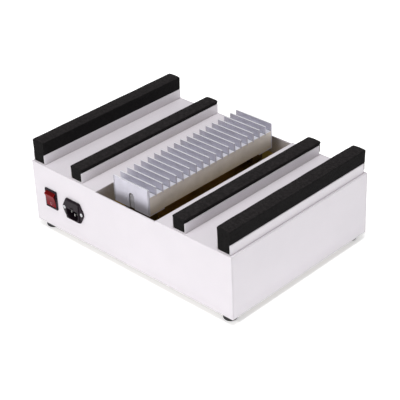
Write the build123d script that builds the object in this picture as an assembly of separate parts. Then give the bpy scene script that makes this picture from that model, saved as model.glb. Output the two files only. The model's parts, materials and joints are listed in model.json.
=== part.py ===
from build123d import *
import os
from math import cos, radians, sin, sqrt, tan

# Long dry block heater: a white sheet-metal box with an open trough along its
# middle, a finned aluminium heating block standing in the trough, and four
# foam-lined rails on top. All sizes are millimetres.
# X runs along the switch face, Y from the switch face to the back, Z up.
# The origin is the middle of the whole object's footprint, at the feet.

# ---------------------------------------------------------------- dimensions
# housing
BOX_WIDTH = 400.0
BOX_DEPTH = 288.0
BOX_HEIGHT = 100.0
SHEET = 1.5
FRONT_PROUD = 6.02         # the rocker switch stands this far out of the front
EDGE_ROUND = 1.0
FLANGE = 9.0               # width of the return flanges inside the housing
VENT_WIDTH = 6.0
VENT_LENGTH = 60.0
VENT_PITCH = 14.0
VENT_X = 131.0             # middle vent of each side
VENT_Y = 54.0              # behind the middle of the housing

# trough
TROUGH_WIDTH = 120.0
TROUGH_DEPTH = 30.5
LIP_DROP = 2.0             # panel edges lie this far under the top plates

# feet
FOOT_HEIGHT = 12.0
FOOT_RADIUS = 11.0
FOOT_SOLE_RADIUS = 10.2
FOOT_DOME = 3.5
FOOT_INSET_X = 18.0
FOOT_INSET_Y = 14.5

# rails and foam
RAIL_WIDTH = 24.0
RAIL_HEIGHT = 15.5
RAIL_SHEET = 1.2
RAIL_FRONT_GAP = 2.4
RAIL_BACK_GAP = 1.5
SHORT_RAILS = ("inner_right", "outer_right")  # foam overhangs these at the back
SHORT_RAIL_CUT = 3.0
OUTER_RAIL = 184.4
INNER_RAIL = 102.8
FOAM_IN_RAIL = 21.2
FOAM_SHOULDER = 22.2
FOAM_HEAD = 23.8
FOAM_BACK_GAP = 0.6
OUTER_FOAM_TOP = 37.2      # above the top plates
INNER_FOAM_TOP = 22.0
FOAM_CHAMFER = 2.5
RIVET_STEPS = 3

# heating block
BLOCK_WIDTH = 70.0
BLOCK_FRONT_GAP = 13.5     # front face of the front end plate, from the panel
FIN_PITCH = 13.4
FIN_THICK = 2.0
FIN_BAYS = 19
FIN_HEIGHT = 12.0
FIN_ROOT = 3.0             # depth of the groove that holds each fin
BLOCK_TOP = 131.0          # fin tips, above the housing's underside
BLOCK_UNDER = 91.5
PLATE = 2.0
SLOT_WIDTH = 10.5
SLOT_TOP = 114.0
CAVITY_DEPTH = 5.0         # in the block's ends, behind the slots
CAP_WIDTH = 7.6
CAP_DROP = 2.2             # its round top lies this far under the slot's
CAP_SETBACK = 1.0
EDGE_GROOVE = 0.8          # width and depth, beside each upright edge
EDGE_GROOVE_INSET = 1.0
PLATE_FOOT = 29.0

# supports under the block
SUPPORT_WIDTH = 42.5
SUPPORT_LENGTH = 22.5
SUPPORT_SPAN = 222.0       # centre to centre
SUPPORT_SCREW_X = 12.0

# heater package in the block's underside
POCKET_WIDTH = 58.0
POCKET_LENGTH = 186.0
POCKET_DEPTH = 6.0
HEATER_THICK = 2.0
MICA_THICK = 1.0
PACK_GAP = 0.3

# switch
SWITCH_X = -161.5
SWITCH_Z = 48.5
BEZEL_WIDTH = 25.5
BEZEL_HEIGHT = 31.0
BEZEL_THICK = 2.0
WINDOW_WIDTH = 20.0
WINDOW_HEIGHT = 26.4
SWITCH_BODY_WIDTH = 21.8
SWITCH_BODY_HEIGHT = 28.6
SWITCH_BODY_DEPTH = 21.0
SWITCH_TAG = 9.0
ROCKER_WIDTH = 19.4
ROCKER_REACH = 10.0        # pivot to ridge, along the face
ROCKER_RIDGE = 8.0         # pivot to ridge, outwards
ROCKER_VALLEY = 6.7        # pivot to the middle of the face
ROCKER_TILT = 10.0
PIVOT_DEPTH = 3.5          # pivot axis, behind the panel's front face
PIVOT_RADIUS = 1.5
PIVOT_CLEARANCE = 0.06

# mains inlet with fuse drawer
INLET_X = -112.7
INLET_Z = 47.5
INLET_WIDTH = 44.0
INLET_HEIGHT = 33.0
INLET_FLANGE = 2.5
INLET_BOSS_WIDTH = 27.6
INLET_SHOULDER = 14.3      # half length of the flange's straight edges
INLET_TIP = 2.5            # half height of its two blunt points
INLET_BOSS_HEIGHT = 31.0
INLET_BOSS = 1.5
INLET_SCREW_SPAN = 37.0
INLET_BODY_WIDTH = 27.4
INLET_BODY_HEIGHT = 30.6
INLET_BODY_DEPTH = 26.0
INLET_TAG = 8.0
SOCKET_WIDTH = 24.4
SOCKET_HEIGHT = 16.6
SOCKET_DEPTH = 16.5
SOCKET_DROP = 6.6          # socket centre, under the inlet's centre
PIN_TIP_DEPTH = 4.8        # pin tips, behind the socket's mouth
DRAWER_RISE = 8.7          # drawer centre, above the inlet's centre
DRAWER_WIDTH = 24.0
DRAWER_HEIGHT = 9.4
DRAWER_DEPTH = 17.5
FUSE_RADIUS = 2.6
FUSE_LENGTH = 20.0

# electrical parts inside
TERMINAL_BLOCK_X = -110.0
TERMINAL_BLOCK_Y = 96.0    # from the front face
EARTH_STUD_X = -150.0
EARTH_STUD_Y = 96.0
GROMMET_X = -30.0
GROMMET_Y = 112.0
THERMOSTAT_X = 0.0
THERMOSTAT_Y = 142.0
THERMAL_FUSE_Y = 176.0

# leads inside
LEAD_RADIUS = 0.9
ARC_SHARE = 0.45           # part of a run that each end's arc may take
RING_THICK = 0.8
SLEEVE_RISE = 9.0          # axis of the connector's sleeves, above the base plate
SLEEVE_BORE = 1.6

# screws
M3 = 1.5
M4 = 2.0
FIT = 0.05                 # radial clearance of a screw in its hole
FLAT_HEAD = 1.75           # head over shank, of a countersunk screw
CONE_HEIGHT = 1.1          # its cone's height over the shank's radius

# ------------------------------------------------------------ derived places
FRONT = FRONT_PROUD / 2 - BOX_DEPTH / 2
BACK = FRONT + BOX_DEPTH
SIDE = BOX_WIDTH / 2
BOTTOM = FOOT_HEIGHT
TOP = BOTTOM + BOX_HEIGHT
WALL = TROUGH_WIDTH / 2
FLOOR = TOP - TROUGH_DEPTH
RAIL_FRONT = FRONT + RAIL_FRONT_GAP
RAIL_BACK = BACK - RAIL_BACK_GAP
RAIL_X = {
    "outer_left": -OUTER_RAIL,
    "inner_left": -INNER_RAIL,
    "inner_right": INNER_RAIL,
    "outer_right": OUTER_RAIL,
}
BLOCK_FRONT = FRONT + BLOCK_FRONT_GAP
BLOCK_LENGTH = FIN_BAYS * FIN_PITCH + FIN_THICK
BLOCK_BACK = BLOCK_FRONT + BLOCK_LENGTH
BLOCK_MIDDLE = (BLOCK_FRONT + BLOCK_BACK) / 2
BLOCK_LOW = BOTTOM + BLOCK_UNDER
FIN_TIP = BOTTOM + BLOCK_TOP
FIN_FLOOR = FIN_TIP - FIN_HEIGHT
SUPPORT_TOP = BLOCK_LOW - PLATE
BASE_TOP = BOTTOM + SHEET
FOOT_PLACES = [
    (side * (SIDE - FOOT_INSET_X), y)
    for side in (-1, 1)
    for y in (FRONT + FOOT_INSET_Y, BACK - FOOT_INSET_Y)
]


# ------------------------------------------------------------------- helpers
def cuboid(x, y, z):
    """A box given by its (low, high) pair along each axis."""
    size = [high - low for low, high in (x, y, z)]
    middle = [(high + low) / 2 for low, high in (x, y, z)]
    return Pos(*middle) * Box(*size)


def upright(x, y, z_low, z_high, radius):
    """A cylinder along Z."""
    height = z_high - z_low
    return Pos(x, y, z_low + height / 2) * Cylinder(radius, height)


def along_y(x, z, y_low, y_high, radius):
    """A cylinder along Y."""
    length = y_high - y_low
    return Pos(x, y_low + length / 2, z) * Rot(90, 0, 0) * Cylinder(radius, length)


def along_x(y, z, x_low, x_high, radius):
    """A cylinder along X."""
    length = x_high - x_low
    return Pos(x_low + length / 2, y, z) * Rot(0, 90, 0) * Cylinder(radius, length)


def prism_y(points, y_low, y_high):
    """Extrude an (x, z) outline along Y."""
    outline = make_face(Polyline([(x, z) for x, z in points], close=True))
    # XZ plane: local x is X, local y is Z, normal is -Y
    return Pos(0, y_high, 0) * extrude(Plane.XZ * outline, y_high - y_low)


def group(shapes):
    """Several separate solids kept as one node."""
    return Compound([shape.solid() for shape in shapes])


def cross_recess(radius):
    """Cross-shaped driver recess about the origin, its depth along Z."""
    long_side = 2.0 * radius
    short_side = 0.5 * radius
    depth = 1.4 * radius
    return Box(long_side, short_side, depth) + Box(short_side, long_side, depth)


def flat_head_y(x, z, y_face, length, radius):
    """Countersunk screw along Y, its head flush at y_face, shank towards +Y."""
    head = CONE_HEIGHT * radius
    cone = Pos(x, y_face + head / 2, z) * Rot(-90, 0, 0) * Cone(FLAT_HEAD * radius, radius, head)
    shank = along_y(x, z, y_face + head, y_face + length, radius)
    drive = Pos(x, y_face, z) * Rot(90, 45, 0) * cross_recess(radius)
    return cone + shank - drive


def pan_head_up(x, y, z_seat, length, radius):
    """Pan-head screw whose shank points up (+Z) from its seat."""
    head = upright(x, y, z_seat - 1.2 * radius, z_seat, 2 * radius)
    head = fillet(head.edges().group_by(Axis.Z)[0], 0.6 * radius)
    shank = upright(x, y, z_seat, z_seat + length, radius)
    drive = Pos(x, y, z_seat - 1.2 * radius) * Rot(0, 0, 30) * cross_recess(radius)
    return head + shank - drive


def pan_head_down(x, y, z_seat, length, radius):
    """Pan-head screw whose shank points down from its seat."""
    return Pos(x, y, z_seat) * Rot(180, 0, 0) * pan_head_up(0, 0, 0, length, radius)


def hex_nut(x, y, z_low, radius):
    """Hexagon nut on a vertical screw."""
    height = 1.6 * radius
    body = Pos(x, y, z_low) * extrude(RegularPolygon(1.85 * radius, 6), height)
    return body - upright(x, y, z_low - 1, z_low + height + 1, radius + FIT)


# ------------------------------------------------------------------- housing
def wall_panel(y_out, inward):
    """Front or back panel: a flat sheet with side and bottom return flanges.
    y_out is its outer face, inward is +1 or -1 along Y."""
    y_in = y_out + inward * SHEET
    y_flange = y_out + inward * (SHEET + FLANGE)
    face = cuboid((-SIDE, SIDE), sorted((y_out, y_in)), (BOTTOM, TOP))
    face = fillet(
        face.edges().filter_by(Axis.Z).group_by(Axis.Y)[0 if inward > 0 else -1]
        + face.edges().filter_by(Axis.X).group_by(Axis.Z)[-1].group_by(Axis.Y)[0 if inward > 0 else -1],
        EDGE_ROUND,
    )
    face -= cuboid((-WALL, WALL), sorted((y_out - inward, y_in + inward)), (TOP - LIP_DROP, TOP + 1))
    inner = SIDE - SHEET
    flange_top = TOP - SHEET - 2
    for side in (-1, 1):
        face += cuboid(
            sorted((side * inner, side * (inner - SHEET))),
            sorted((y_in, y_flange)),
            (BASE_TOP + SHEET + 2, flange_top),
        )
    face += cuboid((-inner + 2, inner - 2), sorted((y_in, y_flange)), (BASE_TOP, BASE_TOP + SHEET))
    return face


def front_panel():
    panel = wall_panel(FRONT, 1)
    panel -= cuboid(
        (SWITCH_X - SWITCH_BODY_WIDTH / 2 - 0.1, SWITCH_X + SWITCH_BODY_WIDTH / 2 + 0.1),
        (FRONT - 1, FRONT + SHEET + 1),
        (BOTTOM + SWITCH_Z - SWITCH_BODY_HEIGHT / 2 - 0.1, BOTTOM + SWITCH_Z + SWITCH_BODY_HEIGHT / 2 + 0.1),
    )
    panel -= cuboid(
        (INLET_X - INLET_BODY_WIDTH / 2 - 0.1, INLET_X + INLET_BODY_WIDTH / 2 + 0.1),
        (FRONT - 1, FRONT + SHEET + 1),
        (BOTTOM + INLET_Z - INLET_BODY_HEIGHT / 2 - 0.1, BOTTOM + INLET_Z + INLET_BODY_HEIGHT / 2 + 0.1),
    )
    for side in (-1, 1):
        x = INLET_X + side * INLET_SCREW_SPAN / 2
        panel -= along_y(x, BOTTOM + INLET_Z, FRONT - 1, FRONT + SHEET + 1, M3 + FIT)
    return panel


def back_panel():
    return wall_panel(BACK, -1)


def cover(side):
    """Left (-1) or right (+1) cover: side wall, top plate and trough wall
    bent from one sheet, with a flange under the trough floor and one over
    the base plate."""
    y = (FRONT + SHEET, BACK - SHEET)
    floor_seat = FLOOR - SHEET
    outline = [
        (SIDE - FLANGE, BASE_TOP),
        (SIDE, BASE_TOP),
        (SIDE, TOP),
        (WALL, TOP),
        (WALL, floor_seat),
        (WALL - FLANGE, floor_seat),
        (WALL - FLANGE, floor_seat - SHEET),
        (WALL + SHEET, floor_seat - SHEET),
        (WALL + SHEET, TOP - SHEET),
        (SIDE - SHEET, TOP - SHEET),
        (SIDE - SHEET, BASE_TOP + SHEET),
        (SIDE - FLANGE, BASE_TOP + SHEET),
    ]
    shell = prism_y([(side * x, z) for x, z in outline], *y)
    shell += cuboid(sorted((side * SIDE, side * (SIDE - SHEET))), y, (BOTTOM, BASE_TOP))
    top_edges = shell.edges().filter_by(Axis.Y).group_by(Axis.Z)[-1]
    shell = fillet(top_edges, EDGE_ROUND)
    # the panels' flanges lie along the side wall and over the base flange
    for y_end, inward in ((FRONT + SHEET, 1), (BACK - SHEET, -1)):
        shell -= cuboid(
            sorted((side * (SIDE - SHEET), side * (SIDE - FLANGE - 1))),
            sorted((y_end - inward, y_end + inward * (FLANGE + 0.2))),
            (BASE_TOP - 0.5, BASE_TOP + SHEET + 0.5),
        )
    for x, y_hole in rivet_places():
        if side * x > 0:
            shell -= upright(x, y_hole, TOP - SHEET - 1, TOP + 1, M4 + FIT)
    for x, y_hole in floor_screw_places():
        if side * x > 0:
            shell -= upright(x, y_hole, floor_seat - SHEET - 1, floor_seat + 1, M3 + FIT)
    for x, y_hole in base_screw_places():
        if side * x > 0:
            shell -= upright(x, y_hole, BASE_TOP - 0.5, BASE_TOP + SHEET + 1, M3 + FIT)
    return shell


def base_screw_places():
    """Three screws along each side and none at the panels."""
    x = SIDE - FLANGE / 2 - SHEET / 2
    span = BOX_DEPTH / 2 - 30
    middle = (FRONT + BACK) / 2
    return [(side * x, middle + step * span) for side in (-1, 1) for step in (-1, 0, 1)]


def floor_screw_places():
    x = WALL - FLANGE / 2
    span = BOX_DEPTH / 2 - 26
    middle = (FRONT + BACK) / 2
    return [(side * x, middle + step * span) for side in (-1, 1) for step in (-1, 0, 1)]


def rivet_places():
    """Rail fixings, RIVET_STEPS along each rail."""
    middle = (RAIL_FRONT + RAIL_BACK) / 2
    span = (RAIL_BACK - RAIL_FRONT) / 2 - 20
    steps = [2 * k / (RIVET_STEPS - 1) - 1 for k in range(RIVET_STEPS)]
    return [(x, middle + step * span) for x in RAIL_X.values() for step in steps]


def base_plate():
    gap = 0.2
    plate = cuboid(
        (-SIDE + SHEET + gap, SIDE - SHEET - gap),
        (FRONT + SHEET + gap, BACK - SHEET - gap),
        (BOTTOM, BASE_TOP),
    )
    for x, y in FOOT_PLACES:
        plate -= upright(x, y, BOTTOM - 1, BASE_TOP + 1, M4 + FIT)
    for x, y in base_screw_places():
        plate -= upright(x, y, BOTTOM - 1, BASE_TOP + 1, M3 + FIT)
    for x, y in terminal_screw_places() + [(EARTH_STUD_X, FRONT + EARTH_STUD_Y)]:
        plate -= upright(x, y, BOTTOM - 1, BASE_TOP + 1, M3 + FIT)
    y = (FRONT + BACK) / 2 + VENT_Y
    for x in vent_xs():
        plate -= cuboid(
            (x - VENT_WIDTH / 2, x + VENT_WIDTH / 2),
            (y - VENT_LENGTH / 2, y + VENT_LENGTH / 2),
            (BOTTOM - 1, BASE_TOP + 1),
        )
    return plate


def vent_xs():
    """Three cooling slots under each cover."""
    return [side * VENT_X + step * VENT_PITCH for side in (-1, 1) for step in (-1, 0, 1)]


def panel_screws():
    """Screws of the base plate, from below, and of the trough floor, from above."""
    base = [pan_head_up(x, y, BOTTOM, 7.0, M3) for x, y in base_screw_places()]
    floor = [pan_head_down(x, y, FLOOR, 7.0, M3) for x, y in floor_screw_places()]
    return group(base + floor)


def trough_floor():
    """Yellow-passivated steel floor of the trough."""
    gap = 0.2
    plate = cuboid(
        (-WALL + gap, WALL - gap),
        (FRONT + SHEET + gap, BACK - SHEET - gap),
        (FLOOR - SHEET, FLOOR),
    )
    for x, y in floor_screw_places():
        plate -= upright(x, y, FLOOR - SHEET - 1, FLOOR + 1, M3 + FIT)
    for x, y in support_screw_places():
        plate -= upright(x, y, FLOOR - SHEET - 1, FLOOR + 1, M4 + FIT)
    plate -= upright(GROMMET_X, FRONT + GROMMET_Y, FLOOR - SHEET - 1, FLOOR + 1, 7.0)
    return plate


# ---------------------------------------------------------------------- feet
def foot(x, y):
    """Tapered rubber foot with a rounded sole and a recess for its screw."""
    body = Pos(x, y, FOOT_HEIGHT / 2) * Cone(FOOT_SOLE_RADIUS, FOOT_RADIUS, FOOT_HEIGHT)
    body = fillet(body.edges().group_by(Axis.Z)[0], FOOT_DOME)
    body -= upright(x, y, FOOT_HEIGHT - 4, FOOT_HEIGHT + 1, M4 + FIT)
    body -= upright(x, y, -1, FOOT_HEIGHT - 4, 4.4)
    return body


def foot_screws():
    return group([pan_head_up(x, y, FOOT_HEIGHT - 4, 12.0, M4) for x, y in FOOT_PLACES])


def foot_nuts():
    return group([hex_nut(x, y, BASE_TOP, M4) for x, y in FOOT_PLACES])


# --------------------------------------------------------------------- rails
def rail(name):
    """U-channel lying on the top plate, open upwards."""
    x = RAIL_X[name]
    half = RAIL_WIDTH / 2
    y = (RAIL_FRONT, RAIL_BACK - (SHORT_RAIL_CUT if name in SHORT_RAILS else 0))
    channel = cuboid((x - half, x + half), y, (TOP, TOP + RAIL_HEIGHT))
    channel -= cuboid(
        (x - half + RAIL_SHEET, x + half - RAIL_SHEET),
        (y[0] - 1, y[1] + 1),
        (TOP + RAIL_SHEET, TOP + RAIL_HEIGHT + 1),
    )
    for x_hole, y_hole in rivet_places():
        if x_hole == x:
            channel -= upright(x_hole, y_hole, TOP - 1, TOP + RAIL_SHEET + 1, M4 + FIT)
    return channel


def foam(name):
    """Foam strip: a stem that fills the channel and a head that widens over it."""
    x = RAIL_X[name]
    top = OUTER_FOAM_TOP if name.startswith("outer") else INNER_FOAM_TOP
    stem = FOAM_IN_RAIL / 2
    swell = FOAM_SHOULDER / 2
    head = FOAM_HEAD / 2
    low = TOP + RAIL_SHEET + 0.1
    shoulder = TOP + RAIL_HEIGHT + 0.2
    high = TOP + top
    outline = [
        (-stem + FOAM_CHAMFER, low),
        (stem - FOAM_CHAMFER, low),
        (stem, low + FOAM_CHAMFER),
        (stem, shoulder),
        (swell, shoulder),
        (head, high - FOAM_CHAMFER / 2),
        (head - FOAM_CHAMFER / 2, high),
        (-head + FOAM_CHAMFER / 2, high),
        (-head, high - FOAM_CHAMFER / 2),
        (-swell, shoulder),
        (-stem, shoulder),
        (-stem, low + FOAM_CHAMFER),
    ]
    strip = prism_y([(x + dx, z) for dx, z in outline], RAIL_FRONT + 0.2, BACK - FOAM_BACK_GAP)
    for x_hole, y_hole in rivet_places():
        if x_hole == x:
            strip -= upright(x_hole, y_hole, low - 1, low + 2.4, 5.0)
    return strip


def rail_screws():
    """Low pan-head screws in the channel floors, under the foam."""
    screws = []
    for x, y in rivet_places():
        head = upright(x, y, TOP + RAIL_SHEET, TOP + RAIL_SHEET + 1.8, 4.0)
        head = fillet(head.edges().group_by(Axis.Z)[-1], 0.8)
        shank = upright(x, y, TOP + RAIL_SHEET - 10.0, TOP + RAIL_SHEET, M4)
        screws.append(head + shank)
    return group(screws)


def rail_nuts():
    return group([hex_nut(x, y, TOP - SHEET - 1.6 * M4, M4) for x, y in rivet_places()])


# ------------------------------------------------------------- heating block
def fin_places():
    """Centre lines of the fins between the two end plates."""
    first = BLOCK_FRONT + FIN_THICK / 2
    return [first + k * FIN_PITCH for k in range(1, FIN_BAYS)]


def heating_block():
    """Solid aluminium bar with grooves for the fins and a pocket below."""
    half = BLOCK_WIDTH / 2
    body = cuboid((-half, half), (BLOCK_FRONT + PLATE, BLOCK_BACK - PLATE), (BLOCK_LOW, FIN_FLOOR))
    for y in fin_places():
        body -= cuboid(
            (-half - 1, half + 1),
            (y - FIN_THICK / 2, y + FIN_THICK / 2),
            (FIN_FLOOR - FIN_ROOT, FIN_FLOOR + 1),
        )
    body -= cuboid(
        (-POCKET_WIDTH / 2, POCKET_WIDTH / 2),
        (BLOCK_MIDDLE - POCKET_LENGTH / 2, BLOCK_MIDDLE + POCKET_LENGTH / 2),
        (BLOCK_LOW - 1, BLOCK_LOW + POCKET_DEPTH),
    )
    for x, y in support_screw_places():
        body -= upright(x, y, BLOCK_LOW - 1, BLOCK_LOW + 14, M4 + FIT)
    for x, y in cover_plate_screw_places():
        body -= upright(x, y, BLOCK_LOW - 1, BLOCK_LOW + POCKET_DEPTH + 8, M3 + FIT)
    # cavity at each end, behind the slot of the end plate
    for y_end, inward in ((BLOCK_FRONT + PLATE, 1), (BLOCK_BACK - PLATE, -1)):
        y = (y_end - inward, y_end + inward * CAVITY_DEPTH)
        body -= arch(SLOT_WIDTH - 1.0, SUPPORT_TOP - 1, SLOT_TOP - 0.5, *y)
    return body


def arch(width, low, top, y_a, y_b):
    """Tall shape with a round top, its height given above the housing's underside."""
    radius = width / 2
    centre = BOTTOM + top - radius
    y_low, y_high = sorted((y_a, y_b))
    straight = cuboid((-radius, radius), (y_low, y_high), (low, centre))
    return straight + along_y(0, centre, y_low, y_high, radius)


def heater_end_caps():
    """Round-topped plug in the cavity at each end of the block."""
    caps = []
    for y_out, inward in ((BLOCK_FRONT, 1), (BLOCK_BACK, -1)):
        y_face = y_out + inward * CAP_SETBACK
        y_root = y_out + inward * (PLATE + CAVITY_DEPTH)
        cap = arch(CAP_WIDTH, SUPPORT_TOP + PACK_GAP, SLOT_TOP - CAP_DROP, y_face, y_root)
        caps.append(fillet(cap.edges().group_by(Axis.Y)[0 if inward > 0 else -1], 0.4))
    return group(caps)


def block_fins():
    """Thin cross fins pressed into the block's grooves."""
    half = BLOCK_WIDTH / 2
    fins = []
    for y in fin_places():
        fin = cuboid(
            (-half, half),
            (y - FIN_THICK / 2, y + FIN_THICK / 2),
            (FIN_FLOOR - FIN_ROOT, FIN_TIP),
        )
        fins.append(fin)
    return group(fins)


def end_plate(y_out, inward):
    """L-shaped end plate: an upright leg with a round-topped slot, and a foot
    that is held between the block and its support."""
    half = BLOCK_WIDTH / 2
    leg = cuboid((-half, half), sorted((y_out, y_out + inward * PLATE)), (SUPPORT_TOP, FIN_TIP))
    foot_part = cuboid(
        (-half, half),
        sorted((y_out, y_out + inward * PLATE_FOOT)),
        (SUPPORT_TOP, BLOCK_LOW),
    )
    plate = leg + foot_part
    slot_y = (y_out - inward, y_out + inward * (PLATE + CAVITY_DEPTH + 1))
    plate -= arch(SLOT_WIDTH, SUPPORT_TOP - 1, SLOT_TOP, *slot_y)
    for side in (-1, 1):
        edge = side * (half - EDGE_GROOVE_INSET)
        plate -= cuboid(
            sorted((edge, edge - side * EDGE_GROOVE)),
            sorted((y_out - inward, y_out + inward * EDGE_GROOVE)),
            (SUPPORT_TOP - 1, FIN_TIP + 1),
        )
    for x, y in support_screw_places():
        if abs(y - y_out) < PLATE_FOOT:
            plate -= upright(x, y, SUPPORT_TOP - 1, BLOCK_LOW + 1, M4 + FIT)
    return plate


def support_centres():
    return [BLOCK_MIDDLE - SUPPORT_SPAN / 2, BLOCK_MIDDLE + SUPPORT_SPAN / 2]


def support_screw_places():
    return [(x, y) for x in (-SUPPORT_SCREW_X, SUPPORT_SCREW_X) for y in support_centres()]


def support(y):
    """Dark phenolic block that keeps the hot block off the trough floor."""
    half = SUPPORT_WIDTH / 2
    body = cuboid(
        (-half, half),
        (y - SUPPORT_LENGTH / 2, y + SUPPORT_LENGTH / 2),
        (FLOOR, SUPPORT_TOP),
    )
    body = fillet(body.edges().filter_by(Axis.Z), 0.8)
    for x, y_hole in support_screw_places():
        if y_hole == y:
            body -= upright(x, y_hole, FLOOR - 1, SUPPORT_TOP + 1, M4 + FIT)
    return body


def support_screws():
    """Long screws from under the trough floor into the block."""
    seat = FLOOR - SHEET
    length = BLOCK_LOW + 12 - seat
    return group([pan_head_up(x, y, seat, length, M4) for x, y in support_screw_places()])


def pocket_layer(low, high):
    """One layer of the package in the block's pocket."""
    half = POCKET_WIDTH / 2 - PACK_GAP
    reach = POCKET_LENGTH / 2 - PACK_GAP
    layer = cuboid((-half, half), (BLOCK_MIDDLE - reach, BLOCK_MIDDLE + reach), (low, high))
    for x, y in cover_plate_screw_places():
        layer -= upright(x, y, low - 1, high + 1, M3 + FIT)
    return layer


def cover_plate_screw_places():
    x = POCKET_WIDTH / 2 - 5
    reach = POCKET_LENGTH / 2 - 8
    return [(side * x, BLOCK_MIDDLE + step * reach) for side in (-1, 1) for step in (-1, 0, 1)]


def heating_element():
    high = BLOCK_LOW + POCKET_DEPTH
    return pocket_layer(high - HEATER_THICK, high)


def mica_sheet():
    high = BLOCK_LOW + POCKET_DEPTH - HEATER_THICK
    return pocket_layer(high - MICA_THICK, high)


def heater_cover_plate():
    plate = pocket_layer(BLOCK_LOW, BLOCK_LOW + POCKET_DEPTH - HEATER_THICK - MICA_THICK)
    for x, y in thermostat_screw_places():
        plate -= upright(x, y, BLOCK_LOW - 1, BLOCK_LOW + 2.4, M3 + FIT)
    return plate


def heater_cover_screws():
    length = POCKET_DEPTH + 6
    return group([pan_head_up(x, y, BLOCK_LOW, length, M3) for x, y in cover_plate_screw_places()])


# ------------------------------------------------------ temperature controls
def thermostat_screw_places():
    y = FRONT + THERMOSTAT_Y
    return [(THERMOSTAT_X - 12, y), (THERMOSTAT_X + 12, y)]


def thermostat():
    """Bimetal disc thermostat with its mounting ears, hung under the block."""
    y = FRONT + THERMOSTAT_Y
    cap = upright(THERMOSTAT_X, y, BLOCK_LOW - 4.0, BLOCK_LOW, 8.4)
    case = upright(THERMOSTAT_X, y, BLOCK_LOW - 12.0, BLOCK_LOW - 4.0, 7.6)
    ears = cuboid((THERMOSTAT_X - 16, THERMOSTAT_X + 16), (y - 4, y + 4), (BLOCK_LOW - 0.8, BLOCK_LOW))
    body = cap + case + ears
    for x, y_hole in thermostat_screw_places():
        body -= upright(x, y_hole, BLOCK_LOW - 2, BLOCK_LOW + 1, M3 + FIT)
    for dx in (-4, 4):
        body += cuboid(
            (THERMOSTAT_X + dx - 0.4, THERMOSTAT_X + dx + 0.4), (y - 3, y + 3), (BLOCK_LOW - 17.5, BLOCK_LOW - 12.0)
        )
    return body


def thermostat_screws():
    return group([pan_head_up(x, y, BLOCK_LOW - 0.8, 3.0, M3) for x, y in thermostat_screw_places()])


def thermal_fuse():
    """One-shot cut-out lying across the block's underside."""
    y = FRONT + THERMAL_FUSE_Y
    return along_x(y, BLOCK_LOW - 2.1, THERMOSTAT_X - 6, THERMOSTAT_X + 6, 2.0)


def floor_grommet():
    """Ring of silicone rubber where the heater leads pass the trough floor."""
    x, y = GROMMET_X, FRONT + GROMMET_Y
    neck = upright(x, y, FLOOR - SHEET, FLOOR, 6.95)
    low = upright(x, y, FLOOR - SHEET - 1.8, FLOOR - SHEET, 9.5)
    high = upright(x, y, FLOOR, FLOOR + 1.8, 9.5)
    return neck + low + high - upright(x, y, FLOOR - SHEET - 3, FLOOR + 3, 4.5)


def terminal_screw_places():
    return [(TERMINAL_BLOCK_X, FRONT + TERMINAL_BLOCK_Y + step * 9.0) for step in (-1, 1)]


def terminal_block():
    """Ceramic three-way connector block on the base plate."""
    x, y = TERMINAL_BLOCK_X, FRONT + TERMINAL_BLOCK_Y
    body = cuboid((x - 19, x + 19), (y - 13, y + 13), (BASE_TOP, BASE_TOP + 5))
    for step in (-1, 0, 1):
        body += cuboid((x + step * 12 - 5, x + step * 12 + 5), (y - 13, y + 13), (BASE_TOP + 5, BASE_TOP + 16))
        body -= along_y(x + step * 12, BASE_TOP + SLEEVE_RISE, y - 14, y + 14, 2.6)
    for x_hole, y_hole in clamp_screw_places():
        body -= upright(x_hole, y_hole, BASE_TOP + SLEEVE_RISE, BASE_TOP + 17, 2.2)
    for x_hole, y_hole in terminal_screw_places():
        body -= upright(x_hole, y_hole, BASE_TOP - 1, BASE_TOP + 17, M3 + FIT)
    return body


def sleeve_xs():
    return [TERMINAL_BLOCK_X + step * 12 for step in (-1, 0, 1)]


def clamp_screw_places():
    """Six wire clamps, at both ends of the connector's outer sleeves and
    beside the fixing screws of the middle one."""
    y = FRONT + TERMINAL_BLOCK_Y
    return [(x, y + step * 6.0) for x in sleeve_xs()[::2] for step in (-1, 1)]


def terminal_sleeves():
    """Brass tubes inside the connector block."""
    y = FRONT + TERMINAL_BLOCK_Y
    z = BASE_TOP + SLEEVE_RISE
    sleeves = []
    for x in sleeve_xs():
        tube = along_y(x, z, y - 11, y + 11, 2.55) - along_y(x, z, y - 12, y + 12, SLEEVE_BORE)
        for x_hole, y_hole in terminal_screw_places():
            if x_hole == x:
                tube -= upright(x_hole, y_hole, BASE_TOP, BASE_TOP + 17, M3 + FIT)
        for x_hole, y_hole in clamp_screw_places():
            if x_hole == x:
                tube -= upright(x_hole, y_hole, z, z + 5, M3 + FIT)
        sleeves.append(tube)
    return group(sleeves)


def terminal_screws():
    """Clamp screws of the sleeves and the connector's two fixing screws."""
    low = BASE_TOP + SLEEVE_RISE + LEAD_RADIUS + FIT
    clamps = [upright(x, y, low, low + 5, M3) for x, y in clamp_screw_places()]
    fixings = [pan_head_up(x, y, BOTTOM, 16.0, M3) for x, y in terminal_screw_places()]
    return group(clamps + fixings)


def earth_stud():
    """Earthing screw standing up through the base plate."""
    return pan_head_up(EARTH_STUD_X, FRONT + EARTH_STUD_Y, BOTTOM, 14.0, M3)


def earth_ring():
    """Ring tag of the earth lead, clamped under the nut."""
    x, y = EARTH_STUD_X, FRONT + EARTH_STUD_Y
    high = BASE_TOP + RING_THICK
    ring = upright(x, y, BASE_TOP, high, 4.0) + cuboid((x - 2, x + 2), (y - 12, y - 2), (BASE_TOP, high))
    return ring - upright(x, y, BASE_TOP - 1, high + 1, M3 + FIT)


def earth_nut():
    return hex_nut(EARTH_STUD_X, FRONT + EARTH_STUD_Y, BASE_TOP + RING_THICK, M3)


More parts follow.
